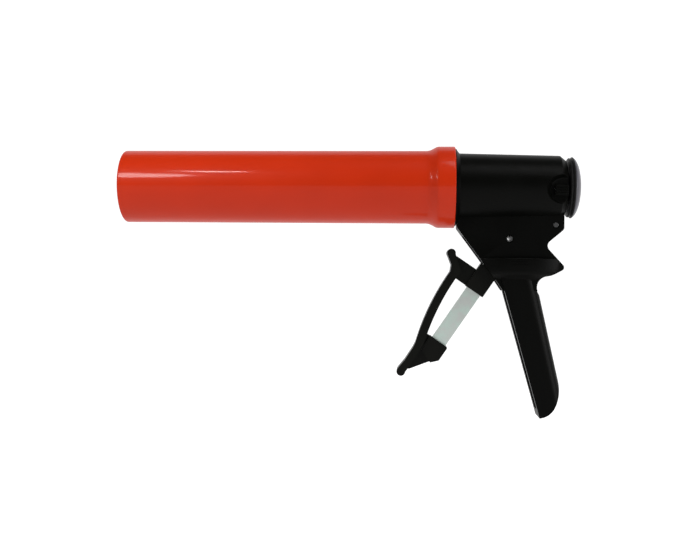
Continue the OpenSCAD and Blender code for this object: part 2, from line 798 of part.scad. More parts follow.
module knob_screw() color(steel) translate([rod_rear + knob_web, 0, 0]) {
    shank = knob_screw_grip + knob_web - 0.6;
    along_x(-shank) cylinder(r = knob_screw_r, h = shank + eps);
    difference() {
        along_x(0) cylinder(r = 4.6, h = 2.2);
        along_x(1) cylinder(r = 1.6, h = 2, $fn = 6);
    }
}

// ---- Trigger ----

module lever_outline() difference() {
    union() {
        translate([bar_front, -lever_len]) square([lever_w, lever_len]);
        circle(r = boss_r);
        rotate(nose_angle) translate([0, -arm_half]) square([nose_arm, 2 * arm_half]);
        translate(nose_arm * [cos(nose_angle), sin(nose_angle)]) circle(r = nose_r);
    }
    circle(r = pivot_r + run_gap);
}

module trigger_lever() color(zinc) in_lever() side_plate(lever_t) lever_outline();

// The bow's band between its two beads
module bow_outline() {
    centre = [bow_front_x + bow_r, bow_mid_z];
    top_a = 180 - asin((bow_top_z - bow_mid_z) / bow_r);
    low_a = 180 + asin((bow_mid_z - bow_low_z) / bow_r);
    outer = arc(centre, bow_r, top_a, low_a, 14);
    inner = arc(centre + [0.4, 0], bow_r - bow_t, low_a, top_a, 14);
    polygon(concat(
        [top_bead + bead_r * [-0.75, -0.66], [-24, -39.5]], outer, [[-12.6, -106], [-12.4, -117]],
        [low_bead + bead_r * [-1, 0.1], low_bead + bead_r * [0.9, 0.5], [-7, -106]], inner,
        [[-15, -40], top_bead + bead_r * [0.9, 0.4]]
    ));
    translate(top_bead) circle(r = bead_r);
    translate(low_bead) circle(r = bead_r);
}

// Upper and lower web between bow and bar
module web_outline() {
    inner = bar_front - 1;
    polygon([[-24, -31.8], [inner, -31.8], [inner, sleeve_low + 0.4], [-17, sleeve_low + 0.4]]);
    polygon([
        [-12, socket_top - 0.2], [bar_front, socket_top - 0.2], [bar_back, -105],
        [3, -108.4], [-5.5, -120.6], [-11, -125]
    ]);
}

module trigger_grip() color(nylon) in_lever() {
    front = bar_front - grip_wall + 0.4;
    back = bar_back + grip_wall;
    end = -lever_len;
    difference() {
        union() {
            side_plate(bow_w) bow_outline();
            side_plate(web_t) web_outline();
            side_plate(sleeve_w) translate([front, sleeve_low]) square([back - front, sleeve_top - sleeve_low]);
            side_plate(socket_w) polygon([
                [front - 0.6, socket_top], [back - 0.8, socket_top], [back, socket_top - 0.8],
                [back, end - 2.2], [back - 4.4, end - 7], [front, end - 3]
            ]);
        }
        translate([bar_front - run_gap, -lever_t / 2 - run_gap, end - seat_gap])
            cube([lever_w + 2 * run_gap, lever_t + 2 * run_gap, lever_len]);
    }
}

// Slotted spring pin, its slot up
module trigger_pivot_pin() color(zinc) in_body() difference() {
    cross_pin([pivot_x, pivot_z], pivot_r, cheek_w - 2 * pin_sink);
    cross_pin([pivot_x, pivot_z], pivot_r - pivot_wall, far);
    translate([pivot_x - pin_slot_w / 2, -far / 2, pivot_z]) cube([pin_slot_w, far, pivot_r + 1]);
}

// Nylon spacers that centre the lever between the cheeks
module pivot_spacers() color("ivory") in_body() for (s = [-1, 1]) {
    t = (slot_w - lever_t) / 2 - slide_gap;
    translate([0, s * (lever_t / 2 + slide_gap / 2 + t / 2), 0]) difference() {
        cross_pin([pivot_x, pivot_z], boss_r, t);
        cross_pin([pivot_x, pivot_z], pivot_r + run_gap, far);
    }
}

// ---- Nodes ----

barrel_tube();
housing();
front_bearing_plate();
front_bush();
retaining_ring();
return_spring();
drive_plates();
brake_spring();
brake_plate();
release_pad_left();
release_pad_right();
brake_pin();
rear_cover();
rear_bush();
rear_cover_screws();
push_rod();
piston_disc();
piston_washers();
piston_nut();
rear_knob();
knob_cap();
knob_screw();
trigger_lever();
trigger_grip();
trigger_pivot_pin();
pivot_spacers();
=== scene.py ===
"""Looks of a closed-barrel caulking gun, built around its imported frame.

Every sub-assembly is a class that holds its own sizes, in millimetres and degrees. It builds its
meshes in the frame's axes (+X from the muzzle to the rear knob, +Z up, metres) and dresses them
in node-built finishes.
"""

from __future__ import annotations
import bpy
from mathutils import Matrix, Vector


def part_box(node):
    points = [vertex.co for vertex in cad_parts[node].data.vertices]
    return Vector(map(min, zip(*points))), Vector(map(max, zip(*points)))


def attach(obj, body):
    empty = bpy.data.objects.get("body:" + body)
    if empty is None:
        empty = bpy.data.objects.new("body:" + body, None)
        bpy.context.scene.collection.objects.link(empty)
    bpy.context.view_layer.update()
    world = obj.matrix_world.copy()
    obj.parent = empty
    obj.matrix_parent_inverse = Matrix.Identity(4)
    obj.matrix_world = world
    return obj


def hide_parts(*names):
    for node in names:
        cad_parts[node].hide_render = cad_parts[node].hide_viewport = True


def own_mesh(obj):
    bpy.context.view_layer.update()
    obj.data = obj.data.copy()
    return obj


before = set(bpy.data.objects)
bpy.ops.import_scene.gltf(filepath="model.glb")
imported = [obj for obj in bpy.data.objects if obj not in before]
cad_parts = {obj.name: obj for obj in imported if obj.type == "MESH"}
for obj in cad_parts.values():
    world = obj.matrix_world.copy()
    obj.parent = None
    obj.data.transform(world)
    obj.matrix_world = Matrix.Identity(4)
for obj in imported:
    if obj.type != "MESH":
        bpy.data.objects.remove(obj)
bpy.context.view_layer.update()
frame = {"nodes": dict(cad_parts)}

import logging  # noqa: E402
import math  # noqa: E402
from collections.abc import Iterable, Sequence  # noqa: E402
from dataclasses import dataclass, field  # noqa: E402
from enum import Enum  # noqa: E402
from typing import Any  # noqa: E402

import bmesh  # noqa: E402
import bpy  # noqa: E402
from mathutils import Matrix, Vector  # noqa: E402

LOG = logging.getLogger("caulking_gun")
Point2 = tuple[float, float]
Corner = tuple[float, float, float]
Colour = tuple[float, float, float]

MM = 0.001
# Points closer than this are one point
MERGE_DISTANCE = 0.004 * MM
# A radius under this, in mm, is a point on the axis
ON_AXIS = 1e-6
# Faces that meet at less than this, in degrees, are one flat face
FLAT_ANGLE = 0.5
# Edges sharper than this, in degrees, are rounded
ROUNDED_ANGLE = 30.0
# Edges sharper than these, in degrees, stay sharp in the shading
CREASE, COIL_CREASE, SCATTER_CREASE = 32.0, 50.0, 35.0
# The most of an edge that the rounding at one of its ends may take
MOST_OF_EDGE = 0.48
# Steps in a turn of a coil, and sides round its wire
COIL_STEPS, WIRE_SIDES = 40, 12
# Occlusion inside a solid: all of the wear up to the first share, none from the second on
WORN_SHARE, WHOLE_SHARE = 0.25, 0.6


class Body(Enum):
    """The frame's moving bodies."""

    FRAME = "frame"
    BARREL = "barrel"
    ROD = "rod"
    TRIGGER = "trigger"
    DRIVER = "driver"
    RELEASE = "release"


class Slot(Enum):
    """The record's material slots."""

    BARREL_PAINT = "barrel_paint"
    BLACK_NYLON = "black_nylon"
    GRIP_PLASTIC = "grip_plastic"
    KNOB_PLASTIC = "knob_plastic"
    CAP_PLASTIC = "cap_plastic"
    NATURAL_NYLON = "natural_nylon"
    DIE_CAST = "die_cast"
    BRONZE = "bronze"
    SPRING_STEEL = "spring_steel"
    ZINC_PLATE = "zinc_plate"
    LEVER_STEEL = "lever_steel"
    ROD_STEEL = "rod_steel"
    PIN_STEEL = "pin_steel"
    BLACK_SCREW = "black_screw"


# ---- Shader graph ----


class Signal:
    """A node's output socket that takes part in Python arithmetic."""

    def __init__(self, graph: Graph, socket: bpy.types.NodeSocket) -> None:
        """Wraps one output socket of a graph."""
        self.graph = graph
        self.socket = socket

    def _math(self, operation: str, first: Signal | float, second: Signal | float) -> Signal:
        """Adds one Math node.

        Args:
            operation: the node's operation.
            first: its first value.
            second: its second value.

        Returns:
            The node's result.
        """
        return self.graph.node("ShaderNodeMath", {"operation": operation}, {0: first, 1: second})

    def __add__(self, other: Signal | float) -> Signal:
        """self + other."""
        return self._math("ADD", self, other)

    def __radd__(self, other: Signal | float) -> Signal:
        """other + self."""
        return self._math("ADD", other, self)

    def __sub__(self, other: Signal | float) -> Signal:
        """self - other."""
        return self._math("SUBTRACT", self, other)

    def __rsub__(self, other: Signal | float) -> Signal:
        """other - self."""
        return self._math("SUBTRACT", other, self)

    def __mul__(self, other: Signal | float) -> Signal:
        """self * other."""
        return self._math("MULTIPLY", self, other)

    def __rmul__(self, other: Signal | float) -> Signal:
        """other * self."""
        return self._math("MULTIPLY", other, self)


class Graph:
    """A material's node tree, filled from Python expressions."""

    def __init__(self, tree: bpy.types.NodeTree) -> None:
        """Starts from an empty tree."""
        self.tree = tree
        tree.nodes.clear()

    def node(
        self,
        kind: str,
        settings: dict[str, Any] | None = None,
        inputs: dict[Any, Any] | None = None,
        out: int | str | None = 0,
    ) -> Signal | None:
        """Adds a node, with its settings first and its sockets after them.

        Args:
            kind: the node's type.
            settings: attributes of the node.
            inputs: values or signals by socket name or number.
            out: the output to return, or None for a node that has none.

        Returns:
            The chosen output.
        """
        made = self.tree.nodes.new(kind)
        for key, value in (settings or {}).items():
            setattr(made, key, value)
        for key, value in (inputs or {}).items():
            if isinstance(value, Signal):
                self.tree.links.new(value.socket, made.inputs[key])
            else:
                made.inputs[key].default_value = value
        return None if out is None else Signal(self, made.outputs[out])

    def place(self, stretch: Sequence[float] = (1.0, 1.0, 1.0)) -> Signal:
        """Object coordinates in metres, stretched per axis."""
        coords = self.node("ShaderNodeTexCoord", out="Object")
        return self.node("ShaderNodeMapping", None, {"Vector": coords, "Scale": tuple(stretch)})

    def noise(self, at: Signal, size: float, detail: float = 2.0, rough: float = 0.5) -> Signal:
        """Noise from 0 to 1 whose blotches are about size metres across."""
        values = {"Vector": at, "Scale": 1.0 / size, "Detail": detail, "Roughness": rough}
        return self.node("ShaderNodeTexNoise", None, values)

    def band(self, value: Signal, low: float, high: float) -> Signal:
        """value as 0 up to low, 1 from high on, and straight between them."""
        values = {"Value": value, "From Min": low, "From Max": high}
        return self.node("ShaderNodeMapRange", None, values)

    def mix(self, factor: Signal | float, first: Any, second: Any) -> Signal:
        """A colour between first and second."""
        values = {0: factor, 6: first, 7: second}
        return self.node("ShaderNodeMix", {"data_type": "RGBA"}, values, out=2)

    def bump(self, height: Signal, depth: float) -> Signal:
        """A normal from a height field that is depth metres deep."""
        return self.node("ShaderNodeBump", None, {"Height": height, "Distance": depth})

    def edge_wear(self, reach: float) -> Signal:
        """1 along convex edges and 0 on faces more than reach metres away from them.

        Args:
            reach: how far the wear goes from an edge.

        Returns:
            The share of wear.
        """
        settings = {"samples": 8, "inside": True, "only_local": True}
        free = self.node("ShaderNodeAmbientOcclusion", settings, {"Distance": reach}, out="AO")
        return 1.0 - self.band(free, WORN_SHARE, WHOLE_SHARE)


def tint(colour: Colour, gain: float = 1.0) -> tuple[float, float, float, float]:
    """A linear colour times gain, with full cover."""
    return (colour[0] * gain, colour[1] * gain, colour[2] * gain, 1.0)


@dataclass(frozen=True)
class Finish:
    """A surface finish.

    Sizes and depths are in metres, tones are factors on the colour, and a swing is how far a
    pattern moves the roughness.
    """

    colour: Colour
    roughness: float = 0.5

    def dress(self, graph: Graph) -> dict[str, Any]:
        """The shader's inputs, which each kind of finish gives in its own way."""
        raise NotImplementedError

    def material(self, slot: Slot) -> bpy.types.Material:
        """Makes the slot's material the first time and gives the same one after that.

        Args:
            slot: the record's slot that the finish is for.

        Returns:
            The material.
        """
        name = f"finish_{slot.value}"
        if name in bpy.data.materials:
            return bpy.data.materials[name]
        made = bpy.data.materials.new(name)
        made.use_nodes = True
        made.diffuse_color = tint(self.colour)
        graph = Graph(made.node_tree)
        surface = graph.node("ShaderNodeBsdfPrincipled", None, self.dress(graph))
        graph.node("ShaderNodeOutputMaterial", None, {"Surface": surface}, out=None)
        return made


@dataclass(frozen=True)
class PowderCoat(Finish):
    """Glossy stoved paint with a faint orange peel."""

    peel_size: float = 1.7 * MM
    peel_depth: float = 0.004 * MM
    peel_swing: float = 0.06
    drift_size: float = 40 * MM
    drift_tones: tuple[float, float] = (0.96, 1.03)
    speck_size: float = 0.5 * MM
    speck_dull: float = 0.2
    speck_thin: float = 0.06
    specular: float = 0.08
    coat: float = 0.2
    coat_roughness: float = 0.09

    def dress(self, graph: Graph) -> dict[str, Any]:
        """Even colour with a slow drift, fine peel, specks of dust and a clear top.

        Args:
            graph: the material's node tree.

        Returns:
            Values and signals by the shader's socket name.
        """
        at = graph.place()
        drift = graph.band(graph.noise(at, self.drift_size), 0.3, 0.7)
        peel = graph.noise(at, self.peel_size, detail=1.0, rough=0.4)
        specks = graph.band(graph.noise(at, self.speck_size, detail=1.0), 0.72, 0.8)
        dark, light = (tint(self.colour, tone) for tone in self.drift_tones)
        return {
            "Base Color": graph.mix(drift, dark, light),
            "Roughness": self.roughness + self.peel_swing * (peel - 0.5) + self.speck_dull * specks,
            "Specular IOR Level": self.specular,
            "Coat Weight": self.coat - self.speck_thin * specks,
            "Coat Roughness": self.coat_roughness,
            "Normal": graph.bump(peel, self.peel_depth),
        }


@dataclass(frozen=True)
class Moulded(Finish):
    """Satin moulded plastic with a fine eroded grain, rubbed a little on its edges."""

    grain_size: float = 0.3 * MM
    grain_depth: float = 0.01 * MM
    grain_swing: float = 0.08
    flow_size: float = 15 * MM
    flow_stretch: tuple[float, float, float] = (1.0, 1.0, 0.35)
    flow_tones: tuple[float, float] = (0.85, 1.2)
    flow_swing: float = 0.12
    sheen: float = 0.058
    wear: float = 0.35
    wear_reach: float = 0.7 * MM
    wear_tone: float = 3.0
    wear_polish: float = 0.12

    def dress(self, graph: Graph) -> dict[str, Any]:
        """Grain in the normal, slow changes of sheen, and rubbed edges.

        Args:
            graph: the material's node tree.

        Returns:
            Values and signals by the shader's socket name.
        """
        at = graph.place()
        grain = graph.noise(at, self.grain_size, rough=0.6)
        flow = graph.noise(graph.place(self.flow_stretch), self.flow_size, detail=3.0)
        dark, light = (tint(self.colour, tone) for tone in self.flow_tones)
        base = graph.mix(graph.band(flow, 0.3, 0.75), dark, light)
        swing = self.flow_swing * (flow - 0.5) + self.grain_swing * (grain - 0.5)
        values = {
            "Roughness": self.roughness + swing,
            "Specular IOR Level": self.sheen,
            "Normal": graph.bump(grain, self.grain_depth),
        }
        if self.wear:
            rubbed = graph.edge_wear(self.wear_reach) * graph.band(flow, 0.35, 0.7) * self.wear
            base = graph.mix(rubbed, base, tint(self.colour, self.wear_tone))
            values["Roughness"] = values["Roughness"] - self.wear_polish * rubbed
        return values | {"Base Color": base}


@dataclass(frozen=True)
class Metal(Finish):
    """Bare or plated metal, drawn or ground along one axis."""

    stretch: tuple[float, float, float] = (0.05, 1.0, 1.0)
    line_size: float = 0.25 * MM
    line_depth: float = 0.003 * MM
    line_tones: tuple[float, float] = (0.9, 1.08)
    line_swing: float = 0.1
    cloud_size: float = 8 * MM
    cloud_swing: float = 0.14
    bloom: Colour | None = None
    bloom_share: float = 0.6

    def dress(self, graph: Graph) -> dict[str, Any]:
        """Drawn lines, cloudy sheen and, on plating, a breath of colour.

        Args:
            graph: the material's node tree.

        Returns:
            Values and signals by the shader's socket name.
        """
        lines = graph.noise(graph.place(self.stretch), self.line_size, detail=3.0, rough=0.6)
        cloud = graph.noise(graph.place(), self.cloud_size, detail=3.0)
        dark, light = (tint(self.colour, tone) for tone in self.line_tones)
        base = graph.mix(lines, dark, light)
        swing = self.cloud_swing * (cloud - 0.5) + self.line_swing * (lines - 0.5)
        if self.bloom is not None:
            share = self.bloom_share * graph.band(cloud, 0.42, 0.66)
            base = graph.mix(share, base, tint(self.bloom))
        return {
            "Base Color": base,
            "Metallic": 1.0,
            "Roughness": self.roughness + swing,
            "Normal": graph.bump(lines, self.line_depth),
        }


@dataclass(frozen=True)
class Sintered(Finish):
    """Porous oil-filled bearing bronze."""

    pore_size: float = 0.2 * MM
    pore_depth: float = 0.01 * MM
    pore_tone: float = 0.35
    pore_swing: float = 0.25

    def dress(self, graph: Graph) -> dict[str, Any]:
        """Dark pores in a dull yellow metal.

        Args:
            graph: the material's node tree.

        Returns:
            Values and signals by the shader's socket name.
        """
        pores = graph.noise(graph.place(), self.pore_size, detail=1.0, rough=0.3)
        solid = graph.band(pores, 0.32, 0.46)
        return {
            "Base Color": graph.mix(solid, tint(self.colour, self.pore_tone), tint(self.colour)),
            "Metallic": 1.0,
            "Roughness": self.roughness + self.pore_swing * (1.0 - solid),
            "Normal": graph.bump(solid, self.pore_depth),
        }


# ---- Mesh making ----


def new_piece(name: str, mesh: bpy.types.Mesh) -> bpy.types.Object:
    """Links a mesh into the scene as an object at the origin.

    Args:
        name: the object's name.
        mesh: its mesh.

    Returns:
        The object.
    """
    made = bpy.data.objects.new(name, mesh)
    bpy.context.scene.collection.objects.link(made)
    return made


def shade(mesh: bpy.types.Mesh, crease: float = CREASE) -> None:
    """Smooth shading, with edges sharp where faces meet at more than crease degrees."""
    mesh.shade_smooth()
    mesh.set_sharp_from_angle(angle=math.radians(crease))


def soften(corners: Sequence[Corner], steps: int) -> list[Point2]:
    """Rounds the corners of a closed outline.

    Args:
        corners: each corner's two coordinates and how far from it its rounding starts.
        steps: pieces in each rounding.

    Returns:
        The outline.
    """
    out: list[Point2] = []
    for i, (a, b, reach) in enumerate(corners):
        here = Vector((a, b))
        back = Vector(corners[i - 1][:2]) - here
        ahead = Vector(corners[(i + 1) % len(corners)][:2]) - here
        if not reach:
            out.append((a, b))
            continue
        reach = min(reach, MOST_OF_EDGE * back.length, MOST_OF_EDGE * ahead.length)
        start, end = here + reach * back.normalized(), here + reach * ahead.normalized()
        for k in range(steps + 1):
            t = k / steps
            out.append(tuple(start * (1 - t) ** 2 + here * (2 * t * (1 - t)) + end * t**2))
    return out


def lathe(
    name: str,
    outline: Sequence[Point2],
    sides: int,
    start: float = 0.0,
    span: float = 360.0,
) -> bpy.types.Object:
    """Turns a closed outline about the barrel's axis.

    Args:
        name: the piece's name.
        outline: (radius, x) points in mm.
        sides: steps round the axis.
        start: where the turn starts, in degrees from +Z.
        span: how far it goes, in degrees; the ends are closed when it is under 360.

    Returns:
        The piece.
    """
    whole = span >= 360.0
    count = sides if whole else sides + 1
    angles = [math.radians(start + span * k / sides) for k in range(count)]
    bm = bmesh.new()
    rings = []
    for r, x in outline:
        if r < ON_AXIS:
            rings.append([bm.verts.new((x * MM, 0.0, 0.0))])
        else:
            rings.append([
                bm.verts.new((x * MM, r * MM * math.sin(a), r * MM * math.cos(a))) for a in angles
            ])
    for i, ring in enumerate(rings):
        after = rings[(i + 1) % len(rings)]
        for k in range(sides):
            loop = [ring[k % len(ring)], ring[(k + 1) % len(ring)],
                    after[(k + 1) % len(after)], after[k % len(after)]]
            face = list(dict.fromkeys(loop))
            if len(face) > 2:
                bm.faces.new(face)
    if not whole:
        bm.faces.new([ring[0] for ring in rings])
        bm.faces.new([ring[-1] for ring in rings])
    bmesh.ops.recalc_face_normals(bm, faces=bm.faces[:])
    mesh = bpy.data.meshes.new(name)
    bm.to_mesh(mesh)
    bm.free()
    shade(mesh)
    return new_piece(name, mesh)


def applied(piece: bpy.types.Object) -> bpy.types.Object:
    """Turns a piece's modifiers into a plain mesh.

    Args:
        piece: an object with modifiers.

    Returns:
        The same object, with its evaluated mesh and no modifier.
    """
    graph = bpy.context.evaluated_depsgraph_get()
    mesh = bpy.data.meshes.new_from_object(piece.evaluated_get(graph))
    piece.modifiers.clear()
    piece.data = mesh
    return piece


def softened(source: bpy.types.Object, name: str, width: float, steps: int) -> bpy.types.Object:
    """A copy of a frame node with its triangles merged and its edges rounded.

    Args:
        source: the frame's node.
        name: the new piece's name.
        width: how far from an edge its rounding starts, in mm.
        steps: pieces in each rounding.

    Returns:
        The piece.
    """
    mesh = source.data.copy()
    mesh.name = name
    mesh.materials.clear()
    for attribute in ("custom_normal", "sharp_edge", "sharp_face"):
        if attribute in mesh.attributes:
            mesh.attributes.remove(mesh.attributes[attribute])
    bm = bmesh.new()
    bm.from_mesh(mesh)
    bmesh.ops.remove_doubles(bm, verts=bm.verts[:], dist=MERGE_DISTANCE)
    flat = math.radians(FLAT_ANGLE)
    bmesh.ops.dissolve_limit(bm, angle_limit=flat, verts=bm.verts[:], edges=bm.edges[:], delimit=set())
    bm.to_mesh(mesh)
    bm.free()
    shade(mesh, ROUNDED_ANGLE)
    piece = new_piece(name, mesh)
    bevel = piece.modifiers.new("round", "BEVEL")
    bevel.width = width * MM
    bevel.segments = steps
    bevel.limit_method = "ANGLE"
    bevel.angle_limit = math.radians(ROUNDED_ANGLE)
    bevel.use_clamp_overlap = True
    bevel.harden_normals = True
    return applied(piece)


# ---- Geometry node trees ----


class PartTree:
    """A geometry node tree with named inputs."""

    def __init__(self, name: str, inputs: Iterable[tuple[str, str, Any]]) -> None:
        """Makes the tree and its inputs.

        Args:
            name: the tree's name.
            inputs: each input's name, kind of socket and value.
        """
        self.tree = bpy.data.node_groups.new(name, "GeometryNodeTree")
        self.values: dict[str, Any] = {}
        sockets = self.tree.interface
        sockets.new_socket("Geometry", in_out="INPUT", socket_type="NodeSocketGeometry")
        for label, kind, value in inputs:
            made = sockets.new_socket(label, in_out="INPUT", socket_type=f"NodeSocket{kind}")
            self.values[made.identifier] = value
        sockets.new_socket("Geometry", in_out="OUTPUT", socket_type="NodeSocketGeometry")
        self.given = self.tree.nodes.new("NodeGroupInput").outputs

    def add(
        self,
        kind: str,
        inputs: dict[Any, Any],
        settings: dict[str, Any] | None = None,
        out: int = 0,
    ) -> bpy.types.NodeSocket:
        """Adds a node.

        Args:
            kind: the node's type.
            inputs: sockets to link or values, by socket name or number.
            settings: attributes of the node.
            out: the output to return.

        Returns:
            The chosen output.
        """
        made = self.tree.nodes.new(kind)
        for key, value in (settings or {}).items():
            setattr(made, key, value)
        for key, value in inputs.items():
            if isinstance(value, bpy.types.NodeSocket):
                self.tree.links.new(value, made.inputs[key])
            else:
                made.inputs[key].default_value = value
        return made.outputs[out]

    def grow(
        self, geometry: bpy.types.NodeSocket, material: bpy.types.Material, name: str,
        seed_mesh: bpy.types.Mesh | None = None,
    ) -> bpy.types.Object:
        """Ends the tree with real geometry in one material, and runs it on a new object.

        Args:
            geometry: the tree's last geometry.
            material: what it is made of.
            name: the piece's name.
            seed_mesh: the mesh that the tree starts from.

        Returns:
            The piece, as a plain mesh.
        """
        real = self.add("GeometryNodeRealizeInstances", {0: geometry})
        painted = self.add("GeometryNodeSetMaterial", {"Geometry": real, "Material": material})
        self.tree.links.new(painted, self.tree.nodes.new("NodeGroupOutput").inputs[0])
        piece = new_piece(name, seed_mesh or bpy.data.meshes.new(name))
        modifier = piece.modifiers.new("grow", "NODES")
        modifier.node_group = self.tree
        for key, value in self.values.items():
            modifier[key] = value
        return applied(piece)


def coil(
    name: str, outer: float, wire: float, start: float, end: float, turns: float,
    material: bpy.types.Material,
) -> bpy.types.Object:
    """A compression spring about the barrel's axis.

    Args:
        name: the piece's name.
        outer: the coil's outer radius, in metres.
        wire: the wire's diameter.
        start: x of its front end.
        end: x of its rear end.
        turns: the number of turns.
        material: its finish.

    Returns:
        The piece.
    """
    tree = PartTree(f"{name}_tree", [
        ("Radius", "Float", outer - wire / 2),
        ("Wire", "Float", wire / 2),
        ("Height", "Float", end - start - wire),
        ("Turns", "Float", turns),
        ("Start", "Vector", (start + wire / 2, 0.0, 0.0)),
    ])
    path = tree.add("GeometryNodeCurveSpiral", {
        "Resolution": COIL_STEPS, "Rotations": tree.given["Turns"], "Height": tree.given["Height"],
        "Start Radius": tree.given["Radius"], "End Radius": tree.given["Radius"],
    })
    section = tree.add(
        "GeometryNodeCurvePrimitiveCircle",
        {"Resolution": WIRE_SIDES, "Radius": tree.given["Wire"]},
        {"mode": "RADIUS"},
    )
    swept = tree.add(
        "GeometryNodeCurveToMesh", {"Curve": path, "Profile Curve": section, "Fill Caps": True}
    )
    placed = tree.add("GeometryNodeTransform", {
        "Geometry": swept, "Translation": tree.given["Start"], "Rotation": (0.0, math.pi / 2, 0.0),
    })
    piece = tree.grow(placed, material, name)
    shade(piece.data, COIL_CREASE)
    return piece


def scattered(
    name: str, model: bpy.types.Object, places: Sequence[Vector], spin: float, seed: int,
    material: bpy.types.Material,
) -> bpy.types.Object:
    """Copies of one small part, each turned by chance about its own +X.

    Args:
        name: the piece's name.
        model: the part, built about the origin, and removed afterwards.
        places: where the copies go.
        spin: the widest turn, in radians.
        seed: the fixed seed of the turns.
        material: their finish.

    Returns:
        All copies as one piece.
    """
    mesh = bpy.data.meshes.new(name)
    mesh.from_pydata([tuple(place) for place in places], [], [])
    tree = PartTree(f"{name}_tree", [
        ("Part", "Object", model), ("Spin", "Float", spin), ("Seed", "Int", seed),
    ])
    part = tree.add("GeometryNodeObjectInfo", {"Object": tree.given["Part"]}, out=4)
    turn = tree.add(
        "FunctionNodeRandomValue", {3: tree.given["Spin"], "Seed": tree.given["Seed"]},
        {"data_type": "FLOAT"}, out=1,
    )
    axis = tree.add("ShaderNodeCombineXYZ", {0: turn})
    copies = tree.add("GeometryNodeInstanceOnPoints", {
        "Points": tree.given["Geometry"], "Instance": part, "Rotation": axis,
    })
    piece = tree.grow(copies, material, name, mesh)
    bpy.data.objects.remove(model)
    shade(piece.data, SCATTER_CREASE)
    return piece


# ---- Sub-assemblies ----


@dataclass(frozen=True)
class Rounding:
    """A frame node that a copy with rounded edges stands for."""

    node: str
    body: Body
    slot: Slot
    width: float
    steps: int = 2


@dataclass
class SubAssembly:
    """A group of pieces on the frame, and their finishes."""

    nodes: dict[str, bpy.types.Object]
    finishes: dict[Slot, Finish]
    count: int = field(default=0, init=False)
    roundings: tuple[Rounding, ...] = ()

    def paint(self, slot: Slot) -> bpy.types.Material:
        """The slot's material."""
        return self.finishes[slot].material(slot)

    def settle(self, piece: bpy.types.Object, body: Body, slot: Slot, *stands_for: str) -> None:
        """Dresses a piece, sets it on its body and lets it stand for frame nodes.

        Args:
            piece: the finished mesh.
            body: the body that it moves with.
            slot: its material slot.
            *stands_for: the frame nodes that it replaces.
        """
        piece.data.materials.clear()
        piece.data.materials.append(self.paint(slot))
        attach(piece, body.value)
        if stands_for:
            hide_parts(*stands_for)
        self.count += 1
        LOG.info("%s: %d faces, rides on %s", piece.name, len(piece.data.polygons), body.value)

    def round_nodes(self) -> None:
        """Puts a copy with rounded edges in the place of each node that has a rounding."""
        for row in self.roundings:
            piece = softened(self.nodes[row.node], f"{row.node}_part", row.width, row.steps)
            self.settle(piece, row.body, row.slot, row.node)


@dataclass
class Barrel(SubAssembly):
    """The painted tube with its rolled muzzle lip, its flare, and the collar with its lugs."""

    wall: float = 1.5
    lip: float = 2.0
    hole_r: float = 19.0
    collar_step: float = 3.2
    collar_wall: float = 1.8
    collar_len: float = 13.0
    flare_len: float = 6.0
    # How far behind the flare's start the bore widens
    bore_step_lag: float = 1.0
    lug_size: tuple[float, float] = (1.8, 3.0)
    lug_from_rim: float = 4.0
    lug_angle: float = 16.0
    # How far a lug's root lies inside the collar's wall
    lug_root: float = 0.2
    lug_count: int = 3

    def build(self) -> None:
        """Makes the tube and the lugs inside its collar."""
        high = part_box("barrel_tube")[1]
        collar_r, length = high.y / MM, high.x / MM
        tube_r, socket_r = collar_r - self.collar_step, collar_r - self.collar_wall
        bore_r, collar = tube_r - self.wall, length - self.collar_len
        flare = collar - self.flare_len
        # Each corner: its radius, its x, and how far from it its rounding starts
        tube = lathe("barrel_shell", soften([
            (self.hole_r, 0.0, 0.5), (tube_r, 0.0, 1.4), (tube_r, flare, 2.4),
            (collar_r, collar, 1.4), (collar_r, length, 1.2), (socket_r, length, 0.3),
            (socket_r, collar, 0.4), (bore_r, flare + self.bore_step_lag, 0.8),
            (bore_r, self.lip, 1.0), (self.hole_r, self.lip, 0.5),
        ], steps=7), sides=192)
        self.settle(tube, Body.BARREL, Slot.BARREL_PAINT, "barrel_tube")
        height, lug_len = self.lug_size
        rear, root_r = length - self.lug_from_rim, socket_r + self.lug_root
        for i in range(self.lug_count):
            # The frame's turns start at -Z, so a lug centred there sits at 180 degrees from +Z
            middle = 180.0 + 360.0 * i / self.lug_count
            lug = lathe(f"barrel_lug_{i + 1}", soften([
                (socket_r - height, rear - lug_len, 0.4), (root_r, rear - lug_len, 0.0),
                (root_r, rear, 0.0), (socket_r - height, rear, 0.4),
            ], steps=3), sides=12, start=middle - self.lug_angle / 2, span=self.lug_angle)
            self.settle(lug, Body.BARREL, Slot.BARREL_PAINT)


